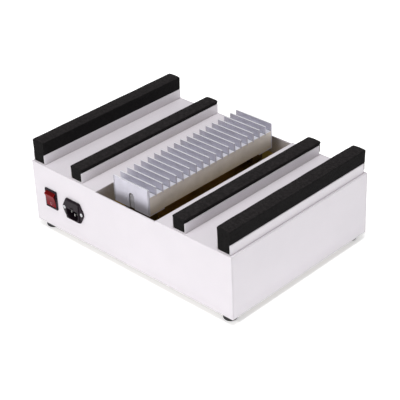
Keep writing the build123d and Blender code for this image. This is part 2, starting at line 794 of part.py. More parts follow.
# --------------------------------------------------------------------- leads
def lead(points):
    """Insulated lead through the points (y from the front face), with every
    corner rounded as far as its runs allow."""
    places = [Vector(x, FRONT + y, z) for x, y, z in points]
    radii = []
    for before, corner, after in zip(places, places[1:], places[2:]):
        run_in = corner - before
        run_out = after - corner
        turn = radians(run_in.get_angle(run_out))
        radii.append(ARC_SHARE * min(run_in.length, run_out.length) / tan(turn / 2))
    path = FilletPolyline(*places, radius=radii)
    section = Plane(origin=path @ 0, z_dir=path % 0) * Circle(LEAD_RADIUS)
    return sweep(section, path=path)


def inlet_tag(index):
    """Back end of one inlet pin, as (x, y from the front face, z)."""
    dx, dz = pin_places()[index]
    return INLET_X + dx, INLET_BODY_DEPTH + INLET_TAG, BOTTOM + INLET_Z + dz


def switch_tag(index):
    dx, dz = terminal_places()[index]
    return SWITCH_X + dx, SWITCH_BODY_DEPTH + SWITCH_TAG, BOTTOM + SWITCH_Z + dz


def sleeve_mouth(index, end):
    """Just inside a sleeve's front (-1) or back (1) end."""
    return sleeve_xs()[index], TERMINAL_BLOCK_Y + end * 5.0, BASE_TOP + SLEEVE_RISE


def brown_leads():
    """Live lead from inlet to switch, and from switch to connector."""
    x_in, y_in, z_in = inlet_tag(0)
    x_sw, y_sw, z_sw = switch_tag(3)
    live = lead(
        [
            (x_in, y_in, z_in),
            (x_in, y_in + 16, z_in),
            (x_sw, y_sw + 20, z_sw),
            (x_sw, y_sw, z_sw),
        ]
    )
    x_sw, y_sw, z_sw = switch_tag(2)
    x_end, y_end, z_end = sleeve_mouth(0, -1)
    switched = lead(
        [
            (x_sw, y_sw, z_sw),
            (x_sw, y_sw + 18, z_sw),
            (x_sw + 17, y_sw + 32, 32.0),
            (x_end, y_end - 21, z_end),
            (x_end, y_end, z_end),
        ]
    )
    return group([live, switched])


def blue_lead():
    """Neutral lead from inlet to connector."""
    x_in, y_in, z_in = inlet_tag(1)
    x_end, y_end, z_end = sleeve_mouth(2, -1)
    return lead(
        [
            (x_in, y_in, z_in),
            (x_in, y_in + 16, z_in),
            (x_end, y_end - 24, z_end),
            (x_end, y_end, z_end),
        ]
    )


def earth_lead():
    """Earth lead from inlet to the ring tag on its stud."""
    x_in, y_in, z_in = inlet_tag(2)
    x_end = EARTH_STUD_X
    y_end = EARTH_STUD_Y - 6
    z_end = BASE_TOP + RING_THICK + LEAD_RADIUS + FIT
    return lead(
        [
            (x_in, y_in, z_in),
            (x_in, y_in + 13, z_in),
            (x_in - 7, y_in + 20, z_end + 4),
            (x_end + 7, y_end - 24, z_end),
            (x_end, y_end - 12, z_end),
            (x_end, y_end, z_end),
        ]
    )


def heater_leads():
    """Glass-sleeved leads from the connector up through the grommet, to the
    thermostat and to the cut-out fuse."""
    x_a, y_a, z_a = sleeve_mouth(0, 1)
    x_b, y_b, z_b = sleeve_mouth(2, 1)
    hot = lead(
        [
            (x_a, y_a, z_a),
            (x_a, y_a + 18, z_a),
            (x_a + 18, y_a + 32, z_a + 8),
            (x_a + 52, y_a + 32, z_a + 24),
            (GROMMET_X - 14, GROMMET_Y + 10, FLOOR - 24),
            (GROMMET_X - 2, GROMMET_Y, FLOOR - 12),
            (GROMMET_X - 2, GROMMET_Y, FLOOR + 9),
            (GROMMET_X + 10, GROMMET_Y + 12, FLOOR + 12),
            (THERMOSTAT_X - 4, THERMOSTAT_Y - 12, FLOOR + 7),
            (THERMOSTAT_X - 4, THERMOSTAT_Y - 3, FLOOR + 7),
        ]
    )
    cold = lead(
        [
            (x_b, y_b, z_b),
            (x_b, y_b + 13, z_b),
            (x_b + 12, y_b + 21, z_b + 10),
            (x_b + 38, y_b + 20, z_b + 28),
            (GROMMET_X - 2, GROMMET_Y + 2, FLOOR - 22),
            (GROMMET_X + 2, GROMMET_Y, FLOOR - 9),
            (GROMMET_X + 2, GROMMET_Y, FLOOR + 9),
            (GROMMET_X + 1, GROMMET_Y + 18, FLOOR + 14),
            (GROMMET_X + 4, THERMAL_FUSE_Y - 18, BLOCK_LOW - 5),
            (GROMMET_X + 10, THERMAL_FUSE_Y, BLOCK_LOW - 2.1),
            (THERMOSTAT_X - 6, THERMAL_FUSE_Y, BLOCK_LOW - 2.1),
        ]
    )
    return group([hot, cold])


# -------------------------------------------------------------------- switch
def pivot_place():
    return FRONT + PIVOT_DEPTH, BOTTOM + SWITCH_Z


def switch_frame():
    """Snap-in switch housing with its bezel, open at the front."""
    x, z = SWITCH_X, BOTTOM + SWITCH_Z
    bezel = cuboid(
        (x - BEZEL_WIDTH / 2, x + BEZEL_WIDTH / 2),
        (FRONT - BEZEL_THICK, FRONT),
        (z - BEZEL_HEIGHT / 2, z + BEZEL_HEIGHT / 2),
    )
    bezel = fillet(bezel.edges().filter_by(Axis.Y), 1.2)
    bezel = fillet(bezel.edges().group_by(Axis.Y)[0], 0.6)
    body = cuboid(
        (x - SWITCH_BODY_WIDTH / 2, x + SWITCH_BODY_WIDTH / 2),
        (FRONT, FRONT + SWITCH_BODY_DEPTH),
        (z - SWITCH_BODY_HEIGHT / 2, z + SWITCH_BODY_HEIGHT / 2),
    )
    window = cuboid(
        (x - WINDOW_WIDTH / 2, x + WINDOW_WIDTH / 2),
        (FRONT - BEZEL_THICK - 1, FRONT + SWITCH_BODY_DEPTH - 4),
        (z - WINDOW_HEIGHT / 2, z + WINDOW_HEIGHT / 2),
    )
    y_pivot, z_pivot = pivot_place()
    half = SWITCH_BODY_WIDTH / 2
    bore = along_x(y_pivot, z_pivot, x - half - 1, x + half + 1, PIVOT_RADIUS + PIVOT_CLEARANCE)
    frame = bezel + body - window - bore
    for dx, dz in terminal_places():
        frame -= cuboid(
            (x + dx - 0.45, x + dx + 0.45),
            (FRONT + SWITCH_BODY_DEPTH - 5, FRONT + SWITCH_BODY_DEPTH + 1),
            (z + dz - 3.2, z + dz + 3.2),
        )
    return frame


def terminal_places():
    return [(dx, dz) for dx in (-5.0, 5.0) for dz in (-8.0, 3.0)]


def switch_terminals():
    """Four flat blades out of the switch's back."""
    x, z = SWITCH_X, BOTTOM + SWITCH_Z
    back = FRONT + SWITCH_BODY_DEPTH
    return group(
        [
            cuboid((x + dx - 0.4, x + dx + 0.4), (back - 4, back + SWITCH_TAG), (z + dz - 3.15, z + dz + 3.15))
            for dx, dz in terminal_places()
        ]
    )


def switch_rocker():
    """Rocker with its upper end out. Its ends follow an arc about the pivot,
    and its face is a shallow curve between two ridges."""
    reach = sqrt(ROCKER_REACH**2 + ROCKER_RIDGE**2)
    behind = -3.2
    # outline in the neutral position: u outwards from the pivot, w upwards
    top = (ROCKER_RIDGE, ROCKER_REACH)
    low = (ROCKER_RIDGE, -ROCKER_REACH)
    back_w = sqrt(reach**2 - behind**2)
    face = ThreePointArc(low, (ROCKER_VALLEY, 0), top)
    upper = ThreePointArc(top, (reach * cos(radians(80)), reach * sin(radians(80))), (behind, back_w))
    back = Line((behind, back_w), (behind, -back_w))
    lower = ThreePointArc((behind, -back_w), (reach * cos(radians(80)), -reach * sin(radians(80))), low)
    outline = make_face(Wire([face, upper, back, lower]))
    # local x is u, which points along -Y; local y is w, along Z
    plane = Plane(origin=(0, 0, 0), x_dir=(0, -1, 0), z_dir=(-1, 0, 0))
    body = extrude(plane * outline, ROCKER_WIDTH / 2, both=True)
    body = fillet(body.edges().filter_by(Axis.X).group_by(Axis.Y)[0], 0.5)
    stub = Rot(0, 90, 0) * Cylinder(PIVOT_RADIUS, SWITCH_BODY_WIDTH - 0.2)
    hollow = Pos(0, 2.2, 0) * Box(ROCKER_WIDTH - 3, 3, 2 * ROCKER_REACH - 5)
    rocker = body - hollow + stub
    y_pivot, z_pivot = pivot_place()
    return Pos(SWITCH_X, y_pivot, z_pivot) * Rot(ROCKER_TILT, 0, 0) * rocker


def switch_lamp():
    """Neon lamp lying in the switch body behind the rocker."""
    z = BOTTOM + SWITCH_Z + 8.5
    radius = 2.4
    y = FRONT + SWITCH_BODY_DEPTH - 4 - radius
    return along_x(y, z, SWITCH_X - 6, SWITCH_X + 6, radius)


# --------------------------------------------------------------------- inlet
def inlet_hexagon(width, height, y_low, y_high):
    """Elongated hexagon with its two points at the screws."""
    x, z = INLET_X, BOTTOM + INLET_Z
    outline = [
        (-width / 2, INLET_TIP),
        (-INLET_SHOULDER, height / 2),
        (INLET_SHOULDER, height / 2),
        (width / 2, INLET_TIP),
        (width / 2, -INLET_TIP),
        (INLET_SHOULDER, -height / 2),
        (-INLET_SHOULDER, -height / 2),
        (-width / 2, -INLET_TIP),
    ]
    plate = prism_y([(x + dx, z + dz) for dx, dz in outline], y_low, y_high)
    return fillet(plate.edges().filter_by(Axis.Y), 1.8)


def inlet_body():
    """Black plastic inlet: flange, raised boss, socket well and drawer bay."""
    x, z = INLET_X, BOTTOM + INLET_Z
    mouth = FRONT - INLET_FLANGE - INLET_BOSS
    back = FRONT + INLET_BODY_DEPTH
    flange = inlet_hexagon(INLET_WIDTH, INLET_HEIGHT, FRONT - INLET_FLANGE, FRONT)
    flange = fillet(flange.edges().group_by(Axis.Y)[0], 0.6)
    boss = cuboid(
        (x - INLET_BOSS_WIDTH / 2, x + INLET_BOSS_WIDTH / 2),
        (mouth, FRONT - INLET_FLANGE),
        (z - INLET_BOSS_HEIGHT / 2, z + INLET_BOSS_HEIGHT / 2),
    )
    boss = fillet(boss.edges().filter_by(Axis.Y), 1.5)
    boss = fillet(boss.edges().group_by(Axis.Y)[0], 0.4)
    body = cuboid(
        (x - INLET_BODY_WIDTH / 2, x + INLET_BODY_WIDTH / 2),
        (FRONT, back),
        (z - INLET_BODY_HEIGHT / 2, z + INLET_BODY_HEIGHT / 2),
    )
    body = flange + boss + body - socket_well() - drawer_bay()
    for side in (-1, 1):
        x_screw = x + side * INLET_SCREW_SPAN / 2
        body -= along_y(x_screw, z, FRONT - INLET_FLANGE - 1, FRONT + 1, M3 + FIT)
        cone = Cone(FLAT_HEAD * M3 + FIT, M3 + FIT, CONE_HEIGHT * M3)
        y_cone = FRONT - INLET_FLANGE + CONE_HEIGHT * M3 / 2
        body -= Pos(x_screw, y_cone, z) * Rot(-90, 0, 0) * cone
    for dx, dz in pin_places():
        body -= cuboid(
            (x + dx - 1.05, x + dx + 1.05),
            (mouth + SOCKET_DEPTH - 1, back + 1),
            (z + dz - 2.05, z + dz + 2.05),
        )
    return body


def socket_well():
    """Well for the mains connector, its two lower corners cut off."""
    x, z = INLET_X, BOTTOM + INLET_Z - SOCKET_DROP
    w, h, cut = SOCKET_WIDTH / 2, SOCKET_HEIGHT / 2, 5.0
    outline = [(-w, h), (w, h), (w, -h + cut), (w - cut, -h), (-w + cut, -h), (-w, -h + cut)]
    mouth = FRONT - INLET_FLANGE - INLET_BOSS
    return prism_y([(x + dx, z + dz) for dx, dz in outline], mouth - 1, mouth + SOCKET_DEPTH)


def drawer_bay():
    x, z = INLET_X, BOTTOM + INLET_Z + DRAWER_RISE
    gap = 0.15
    mouth = FRONT - INLET_FLANGE - INLET_BOSS
    return cuboid(
        (x - DRAWER_WIDTH / 2 - gap, x + DRAWER_WIDTH / 2 + gap),
        (mouth - 1, mouth + DRAWER_DEPTH + 0.5),
        (z - DRAWER_HEIGHT / 2 - gap, z + DRAWER_HEIGHT / 2 + gap),
    )


def pin_places():
    """Live and neutral above, earth below, from the inlet's centre."""
    return [(-7.0, -SOCKET_DROP + 2.0), (7.0, -SOCKET_DROP + 2.0), (0.0, -SOCKET_DROP - 2.0)]


def inlet_pins():
    """Three flat pins that run on through the back as solder tags."""
    x, z = INLET_X, BOTTOM + INLET_Z
    tip = FRONT - INLET_FLANGE - INLET_BOSS + PIN_TIP_DEPTH
    tag = FRONT + INLET_BODY_DEPTH + INLET_TAG
    return group(
        [
            cuboid((x + dx - 1.0, x + dx + 1.0), (tip, tag), (z + dz - 2.0, z + dz + 2.0))
            for dx, dz in pin_places()
        ]
    )


def fuse_drawer():
    """Pull-out fuse carrier with a finger notch and two fuse cradles."""
    x, z = INLET_X, BOTTOM + INLET_Z + DRAWER_RISE
    mouth = FRONT - INLET_FLANGE - INLET_BOSS
    body = cuboid(
        (x - DRAWER_WIDTH / 2, x + DRAWER_WIDTH / 2),
        (mouth, mouth + DRAWER_DEPTH),
        (z - DRAWER_HEIGHT / 2, z + DRAWER_HEIGHT / 2),
    )
    for y in fuse_places():
        body -= cuboid(
            (x - FUSE_LENGTH / 2 - 0.2, x + FUSE_LENGTH / 2 + 0.2),
            (y - FUSE_RADIUS - 0.1, y + FUSE_RADIUS + 0.1),
            (z - FUSE_RADIUS, z + DRAWER_HEIGHT),
        )
    # finger notch in the lower edge of the front
    body -= cuboid((x - 4, x + 4), (mouth - 1, mouth + 1.2), (z - DRAWER_HEIGHT, z - DRAWER_HEIGHT / 2 + 1.6))
    return body


def fuse_places():
    mouth = FRONT - INLET_FLANGE - INLET_BOSS
    return [mouth + 5.5, mouth + 13.5]


def fuse(y):
    """Glass cartridge fuse, 5 by 20 mm class, with its end caps."""
    z = BOTTOM + INLET_Z + DRAWER_RISE
    half = FUSE_LENGTH / 2
    barrel = along_x(y, z, INLET_X - half + 5, INLET_X + half - 5, FUSE_RADIUS - 0.3)
    caps = along_x(y, z, INLET_X - half, INLET_X - half + 5, FUSE_RADIUS)
    caps += along_x(y, z, INLET_X + half - 5, INLET_X + half, FUSE_RADIUS)
    return barrel + caps


def inlet_screws():
    z = BOTTOM + INLET_Z
    return group(
        [
            flat_head_y(INLET_X + side * INLET_SCREW_SPAN / 2, z, FRONT - INLET_FLANGE, 10.0, M3)
            for side in (-1, 1)
        ]
    )


def inlet_nuts():
    nuts = []
    for side in (-1, 1):
        nut = Rot(-90, 0, 0) * hex_nut(0, 0, 0, M3)
        x = INLET_X + side * INLET_SCREW_SPAN / 2
        nuts.append(Pos(x, FRONT + SHEET, BOTTOM + INLET_Z) * nut)
    return group(nuts)


# --------------------------------------------------------------------- nodes
def build_nodes():
    nodes = {
        "front_panel": front_panel(),
        "back_panel": back_panel(),
        "left_cover": cover(-1),
        "right_cover": cover(1),
        "base_plate": base_plate(),
        "trough_floor": trough_floor(),
        "panel_screws": panel_screws(),
        "foot_screws": foot_screws(),
        "foot_nuts": foot_nuts(),
        "rail_screws": rail_screws(),
        "rail_nuts": rail_nuts(),
        "heating_block": heating_block(),
        "block_fins": block_fins(),
        "front_end_plate": end_plate(BLOCK_FRONT, 1),
        "back_end_plate": end_plate(BLOCK_BACK, -1),
        "heater_end_caps": heater_end_caps(),
        "front_support": support(support_centres()[0]),
        "back_support": support(support_centres()[1]),
        "support_screws": support_screws(),
        "heating_element": heating_element(),
        "mica_sheet": mica_sheet(),
        "heater_cover_plate": heater_cover_plate(),
        "heater_cover_screws": heater_cover_screws(),
        "thermostat": thermostat(),
        "thermostat_screws": thermostat_screws(),
        "thermal_fuse": thermal_fuse(),
        "floor_grommet": floor_grommet(),
        "terminal_block": terminal_block(),
        "terminal_sleeves": terminal_sleeves(),
        "terminal_screws": terminal_screws(),
        "earth_stud": earth_stud(),
        "earth_ring": earth_ring(),
        "earth_nut": earth_nut(),
        "brown_leads": brown_leads(),
        "blue_lead": blue_lead(),
        "earth_lead": earth_lead(),
        "heater_leads": heater_leads(),
        "switch_frame": switch_frame(),
        "switch_rocker": switch_rocker(),
        "switch_lamp": switch_lamp(),
        "switch_terminals": switch_terminals(),
        "inlet_body": inlet_body(),
        "inlet_pins": inlet_pins(),
        "inlet_screws": inlet_screws(),
        "inlet_nuts": inlet_nuts(),
        "fuse_drawer": fuse_drawer(),
        "fuse": fuse(fuse_places()[1]),
        "spare_fuse": fuse(fuse_places()[0]),
    }
    for name in RAIL_X:
        nodes[name + "_rail"] = rail(name)
        nodes[name + "_foam"] = foam(name)
    corners = ("front_left", "back_left", "front_right", "back_right")
    for name, (x, y) in zip(corners, FOOT_PLACES):
        nodes[name + "_foot"] = foot(x, y)
    return nodes


os.makedirs("parts", exist_ok=True)
for node_name, shape in build_nodes().items():
    export_step(shape, "parts/" + node_name + ".step")
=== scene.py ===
import json
import math

import bmesh
import bpy
from mathutils import Matrix, Vector, noise

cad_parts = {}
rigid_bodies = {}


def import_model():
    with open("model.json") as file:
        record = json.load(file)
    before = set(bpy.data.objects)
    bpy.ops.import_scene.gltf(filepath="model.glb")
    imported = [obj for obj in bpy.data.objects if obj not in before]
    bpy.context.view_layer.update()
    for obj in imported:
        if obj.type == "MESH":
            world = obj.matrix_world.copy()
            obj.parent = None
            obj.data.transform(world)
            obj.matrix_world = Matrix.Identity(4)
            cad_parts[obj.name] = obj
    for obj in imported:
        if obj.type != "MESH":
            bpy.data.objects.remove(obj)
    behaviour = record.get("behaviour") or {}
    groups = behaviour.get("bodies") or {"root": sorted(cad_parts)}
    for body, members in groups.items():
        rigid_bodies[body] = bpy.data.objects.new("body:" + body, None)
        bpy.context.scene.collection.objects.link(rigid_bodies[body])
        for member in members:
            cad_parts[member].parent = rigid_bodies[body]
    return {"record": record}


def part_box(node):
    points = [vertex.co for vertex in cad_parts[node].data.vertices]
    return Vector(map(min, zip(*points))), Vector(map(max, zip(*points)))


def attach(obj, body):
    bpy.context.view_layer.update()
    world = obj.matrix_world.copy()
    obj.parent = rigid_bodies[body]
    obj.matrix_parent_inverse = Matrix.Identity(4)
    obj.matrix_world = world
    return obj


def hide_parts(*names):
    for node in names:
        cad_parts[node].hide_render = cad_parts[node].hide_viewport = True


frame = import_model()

# Dry block heater: a white powder-coated case with an open trough, a finned
# aluminium block in it and four foam-lined rails. Everything is in metres, in
# the CAD frame: +X along the switch face, +Y to the back, +Z up.

MM = 0.001

# camera. An azimuth of 0 is in front of the object, and 90 at its right.
TARGET = Vector((0.0090, -0.0021, 0.0606))
AZIMUTH = 44.94
ELEVATION = 31.18
ROLL = -2.44
DISTANCE = 1.904
LENS = 116.88              # mm, on a sensor this wide
SENSOR = 36.0
FAR_CLIP = 60.0

# stage
FLOOR_HALF = 12.0
FLOOR_ALBEDO = 0.93
FLOOR_GLOW = 0.46          # lifts the floor to white and softens the shadow
HORIZON = 0.40             # strength of the world light, level with the object
ZENITH = 0.38              # and overhead
FADE_START = 0.05          # sine of the elevation where the horizon's ends
FADE_END = 0.75            # and where the zenith's begins

# colour sockets of Blender's Mix node
MIX_FIRST = 6
MIX_SECOND = 7
MIX_RESULT = 2

# painted shade: the colour laid into tight corners and crevices, where shade falls
PAINTED_CORNER_SHADE = (0.085, 0.080, 0.078)

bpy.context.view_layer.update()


# ------------------------------------------------------------ shader helpers
class Shader:
    """A node tree in short words. Lengths in textures are in metres."""

    def __init__(self, name, colour, roughness, metallic=0.0):
        self.material = bpy.data.materials.new(name)
        self.material.use_nodes = True
        self.material.diffuse_color = (*colour, 1.0)
        self.tree = self.material.node_tree
        self.bsdf = self.tree.nodes["Principled BSDF"]
        self.place = self.node("ShaderNodeTexCoord")
        self.set("Base Color", colour)
        self.set("Roughness", roughness)
        self.set("Metallic", metallic)

    def node(self, kind, **settings):
        """New node, with its own settings such as operation or samples."""
        node = self.tree.nodes.new(kind)
        for key, value in settings.items():
            setattr(node, key, value)
        return node

    def link(self, value, socket):
        """Feed a socket from another socket, a colour or a number."""
        if isinstance(value, bpy.types.NodeSocket):
            self.tree.links.new(value, socket)
        elif socket.type == "RGBA":
            socket.default_value = (*value, 1.0)
        else:
            socket.default_value = value

    def set(self, name, value):
        """Set or feed one socket of the shader itself."""
        self.link(value, self.bsdf.inputs[name])

    # masks and textures
    def stretched(self, stretch):
        """Object coordinates, scaled along each axis."""
        mapping = self.node("ShaderNodeMapping")
        self.link(self.place.outputs["Object"], mapping.inputs["Vector"])
        mapping.inputs["Scale"].default_value = stretch
        return mapping.outputs["Vector"]

    def noise(self, size, detail=3.0, rough=0.5, stretch=(1, 1, 1), distortion=0.0):
        """Noise whose features are about size metres across."""
        texture = self.node("ShaderNodeTexNoise")
        self.link(self.stretched(stretch), texture.inputs["Vector"])
        texture.inputs["Scale"].default_value = 1.0 / size
        texture.inputs["Detail"].default_value = detail
        texture.inputs["Roughness"].default_value = rough
        texture.inputs["Distortion"].default_value = distortion
        return texture.outputs["Fac"]

    def cells(self, size, stretch=(1, 1, 1)):
        """Distance to the middle of cells about size metres across."""
        texture = self.node("ShaderNodeTexVoronoi")
        self.link(self.stretched(stretch), texture.inputs["Vector"])
        texture.inputs["Scale"].default_value = 1.0 / size
        return texture.outputs["Distance"]

    def edges(self, radius):
        """About 1 along sharp outer edges and corners, 0 on flat faces."""
        geometry = self.node("ShaderNodeNewGeometry")
        dot = self.node("ShaderNodeVectorMath", operation="DOT_PRODUCT")
        self.link(self.rounded(radius, 4), dot.inputs[0])
        self.link(geometry.outputs["Normal"], dot.inputs[1])
        return self.span(dot.outputs["Value"], 0.995, 0.80)

    def rounded(self, radius, samples=6):
        """Normal that turns softly over the sharp edges."""
        bevel = self.node("ShaderNodeBevel", samples=samples)
        bevel.inputs["Radius"].default_value = radius
        return bevel.outputs["Normal"]

    def nook(self, reach, low, high):
        """1 deep in a recess and 0 in the open: low and high are the shares
        of open sky, within reach, that count as deep and as open."""
        hidden = self.node("ShaderNodeAmbientOcclusion", samples=8)
        hidden.inputs["Distance"].default_value = reach
        return self.span(hidden.outputs["AO"], high, low)

    def facing(self, axis):
        """How far the surface faces along one axis of the object, -1 to 1."""
        split = self.node("ShaderNodeSeparateXYZ")
        self.link(self.place.outputs["Normal"], split.inputs["Vector"])
        return split.outputs[axis]

    # sums
    def span(self, value, low, high, to_low=0.0, to_high=1.0):
        """Map low..high to to_low..to_high, clamped."""
        node = self.node("ShaderNodeMapRange")
        self.link(value, node.inputs["Value"])
        node.inputs["From Min"].default_value = low
        node.inputs["From Max"].default_value = high
        node.inputs["To Min"].default_value = to_low
        node.inputs["To Max"].default_value = to_high
        return node.outputs["Result"]

    def maths(self, operation, first, second=0.0):
        """One arithmetic step."""
        node = self.node("ShaderNodeMath", operation=operation)
        self.link(first, node.inputs[0])
        self.link(second, node.inputs[1])
        return node.outputs["Value"]

    def mix(self, factor, first, second):
        """First colour where factor is 0, second where it is 1."""
        node = self.node("ShaderNodeMix", data_type="RGBA")
        self.link(factor, node.inputs["Factor"])
        self.link(first, node.inputs[MIX_FIRST])
        self.link(second, node.inputs[MIX_SECOND])
        return node.outputs[MIX_RESULT]

    def patches(self, mask, first, second, low=0.3, high=0.7):
        """Two tones that follow a noise or a mask from low to high."""
        return self.mix(self.span(mask, low, high), first, second)

    def over(self, tone, colour, where, amount=1.0):
        """Lay a colour over a tone where the mask says, at most by amount."""
        if amount < 1.0:
            where = self.maths("MULTIPLY", where, amount)
        return self.mix(where, tone, colour)

    def bump(self, height, depth, strength, under=None):
        """Bump of the given depth in metres, over another normal."""
        node = self.node("ShaderNodeBump")
        node.inputs["Strength"].default_value = strength
        node.inputs["Distance"].default_value = depth
        self.link(height, node.inputs["Height"])
        if under is not None:
            self.link(under, node.inputs["Normal"])
        return node.outputs["Normal"]


# ----------------------------------------------------------------- materials
def white_paint():
    """Satin powder coat: orange peel, a few specks, thin edges, and painted
    shade in recesses and seams."""
    s = Shader("white_paint", (0.72, 0.71, 0.72), 0.42)
    broad = s.noise(70 * MM)
    specks = s.span(s.noise(0.9 * MM, detail=0.0), 0.78, 0.83)
    worn = s.maths("MULTIPLY", s.edges(0.6 * MM), s.span(s.noise(9 * MM), 0.45, 0.75))
    tone = s.patches(broad, (0.670, 0.638, 0.678), (0.700, 0.664, 0.706))
    tone = s.over(tone, (0.55, 0.54, 0.53), specks, 0.25)
    tone = s.over(tone, (0.60, 0.60, 0.61), worn, 0.35)
    # painted shade: dark and warm deep in the trough and other large recesses, as shade with warm light
    # bounced off the golden floor
    tone = s.over(tone, (0.155, 0.130, 0.110), s.nook(60 * MM, 0.18, 0.58), 0.96)
    # painted shade in creases and seams
    tone = s.over(tone, (0.30, 0.28, 0.27), s.nook(2.2 * MM, 0.30, 0.60), 0.50)
    peel = s.noise(1.6 * MM, detail=2.0)
    s.set("Base Color", tone)
    s.set("Roughness", s.span(s.noise(14 * MM, detail=4.0), 0.3, 0.7, 0.36, 0.50))
    s.set("Normal", s.bump(peel, 0.03 * MM, 0.5, under=s.rounded(2.2 * MM)))
    s.set("Coat Weight", 0.12)
    s.set("Coat Roughness", 0.25)
    return s.material


def black_foam():
    """Closed-cell foam: tiny pores over a slightly uneven, mottled surface,
    painted paler on top as lit and darker on its sides as shaded."""
    s = Shader("black_foam", (0.016, 0.016, 0.017), 0.95)
    pores = s.cells(0.9 * MM)
    coarse = s.noise(3.0 * MM, detail=4.0, rough=0.65)
    mottle = s.span(s.noise(4.5 * MM, detail=5.0, rough=0.7), 0.42, 0.62)
    # painted shade: the darker tone for the foam's sides
    side = s.patches(pores, (0.0006, 0.0006, 0.0006), (0.0040, 0.0034, 0.0036), 0.15, 0.6)
    side = s.over(side, (0.0090, 0.0080, 0.0085), mottle, 0.5)
    # painted light: the paler tone for its upward faces
    painted_lit_top = s.patches(pores, (0.0030, 0.0026, 0.0028), (0.0120, 0.0104, 0.0110), 0.15, 0.6)
    painted_lit_top = s.over(painted_lit_top, (0.0270, 0.0235, 0.0245), mottle, 0.7)
    fine = s.bump(pores, 0.35 * MM, 1.0)
    s.set("Base Color", s.patches(s.facing("Z"), side, painted_lit_top, 0.5, 0.85))
    s.set("Roughness", s.span(coarse, 0.3, 0.7, 0.86, 0.98))
    s.set("Normal", s.bump(coarse, 0.9 * MM, 0.8, under=fine))
    s.set("Sheen Weight", 0.02)
    s.set("Sheen Roughness", 0.6)
    s.set("Specular IOR Level", 0.08)
    return s.material


def aluminium(name, tone, along, roughness, metallic, recess, reach, painted_top_light):
    """Anodised aluminium with fine tool marks along one axis, painted highlights on its edges,
    a tone painted deep in its recesses in place of their light and shade, painted light on its upward faces
    and painted shade in its corners."""
    s = Shader(name, tone, roughness, metallic)
    stretch = [1.0, 1.0, 1.0]
    stretch["XYZ".index(along)] = 0.03
    lines = s.noise(0.35 * MM, detail=4.0, rough=0.7, stretch=stretch)
    darker = tuple(0.86 * c for c in tone)
    colour = s.patches(s.noise(18 * MM, detail=4.0), darker, tone)
    # painted highlight along sharp edges
    colour = s.over(colour, (0.93, 0.93, 0.94), s.edges(0.35 * MM), 0.35)
    # painted shading in recesses: darker and warmer as shade on the block, lighter and bluer in the fin gaps
    # as painted light
    colour = s.over(colour, recess, s.nook(reach, 0.20, 0.62))
    # painted light: the upward faces are lighter, as if lit from above
    colour = s.over(colour, painted_top_light, s.span(s.facing("Z"), 0.3, 0.7))
    # painted shade in tight corners and crevices
    colour = s.over(colour, PAINTED_CORNER_SHADE, s.nook(1.6 * MM, 0.42, 0.82), 0.9)
    s.set("Base Color", colour)
    s.set("Roughness", s.span(lines, 0.3, 0.7, roughness - 0.07, roughness + 0.10))
    s.set("Normal", s.bump(lines, 0.015 * MM, 0.5))
    return s.material


def golden_steel():
    """Yellow-passivated zinc: warm and cloudy, faintly green in places, with painted shade in its recesses.
    """
    s = Shader("golden_steel", (0.62, 0.42, 0.16), 0.38, 0.85)
    cloud = s.noise(30 * MM, detail=5.0, rough=0.6, distortion=0.6)
    green = s.span(s.noise(55 * MM, detail=2.0), 0.5, 0.75, 0.0, 0.4)
    scratches = s.noise(0.4 * MM, stretch=(1.0, 0.02, 1.0))
    colour = s.patches(cloud, (0.46, 0.29, 0.045), (0.64, 0.46, 0.09))
    colour = s.over(colour, (0.42, 0.44, 0.07), green)
    # painted shade: darker and browner deep in recesses, such as under the block
    colour = s.over(colour, (0.34, 0.21, 0.03), s.nook(50 * MM, 0.10, 0.50))
    s.set("Base Color", colour)
    s.set("Roughness", s.span(scratches, 0.3, 0.7, 0.30, 0.46))
    s.set("Normal", s.bump(scratches, 0.01 * MM, 0.4))
    return s.material


def phenolic():
    """Dark moulded phenolic with a faint mottled grain."""
    s = Shader("phenolic", (0.035, 0.018, 0.010), 0.45)
    grain = s.noise(2.2 * MM, detail=5.0, rough=0.7)
    s.set("Base Color", s.patches(grain, (0.022, 0.011, 0.006), (0.055, 0.028, 0.015), 0.35, 0.65))
    s.set("Roughness", s.span(grain, 0.3, 0.7, 0.38, 0.55))
    s.set("Normal", s.bump(grain, 0.04 * MM, 0.4))
    return s.material


def moulded(name, colour, roughness, grain=0.5 * MM, depth=0.02 * MM, gloss=0.0, shine=0.4):
    """Moulded plastic, rubber or ceramic: fine spark texture, slight changes
    of tone and paler, rubbed edges."""
    s = Shader(name, colour, roughness)
    cloud = s.noise(12 * MM)
    lighter = tuple(min(1.0, 1.35 * c + 0.001) for c in colour)
    rubbed = tuple(min(1.0, 1.7 * c + 0.012) for c in colour)
    tone = s.patches(cloud, colour, lighter, 0.35, 0.7)
    s.set("Base Color", s.over(tone, rubbed, s.edges(0.3 * MM), 0.25))
    s.set("Roughness", s.span(cloud, 0.3, 0.7, roughness - 0.05, roughness + 0.07))
    s.set("Normal", s.bump(s.noise(grain, detail=2.0), depth, 0.5))
    s.set("Specular IOR Level", shine)
    s.set("Coat Weight", gloss)
    s.set("Coat Roughness", 0.12)
    return s.material


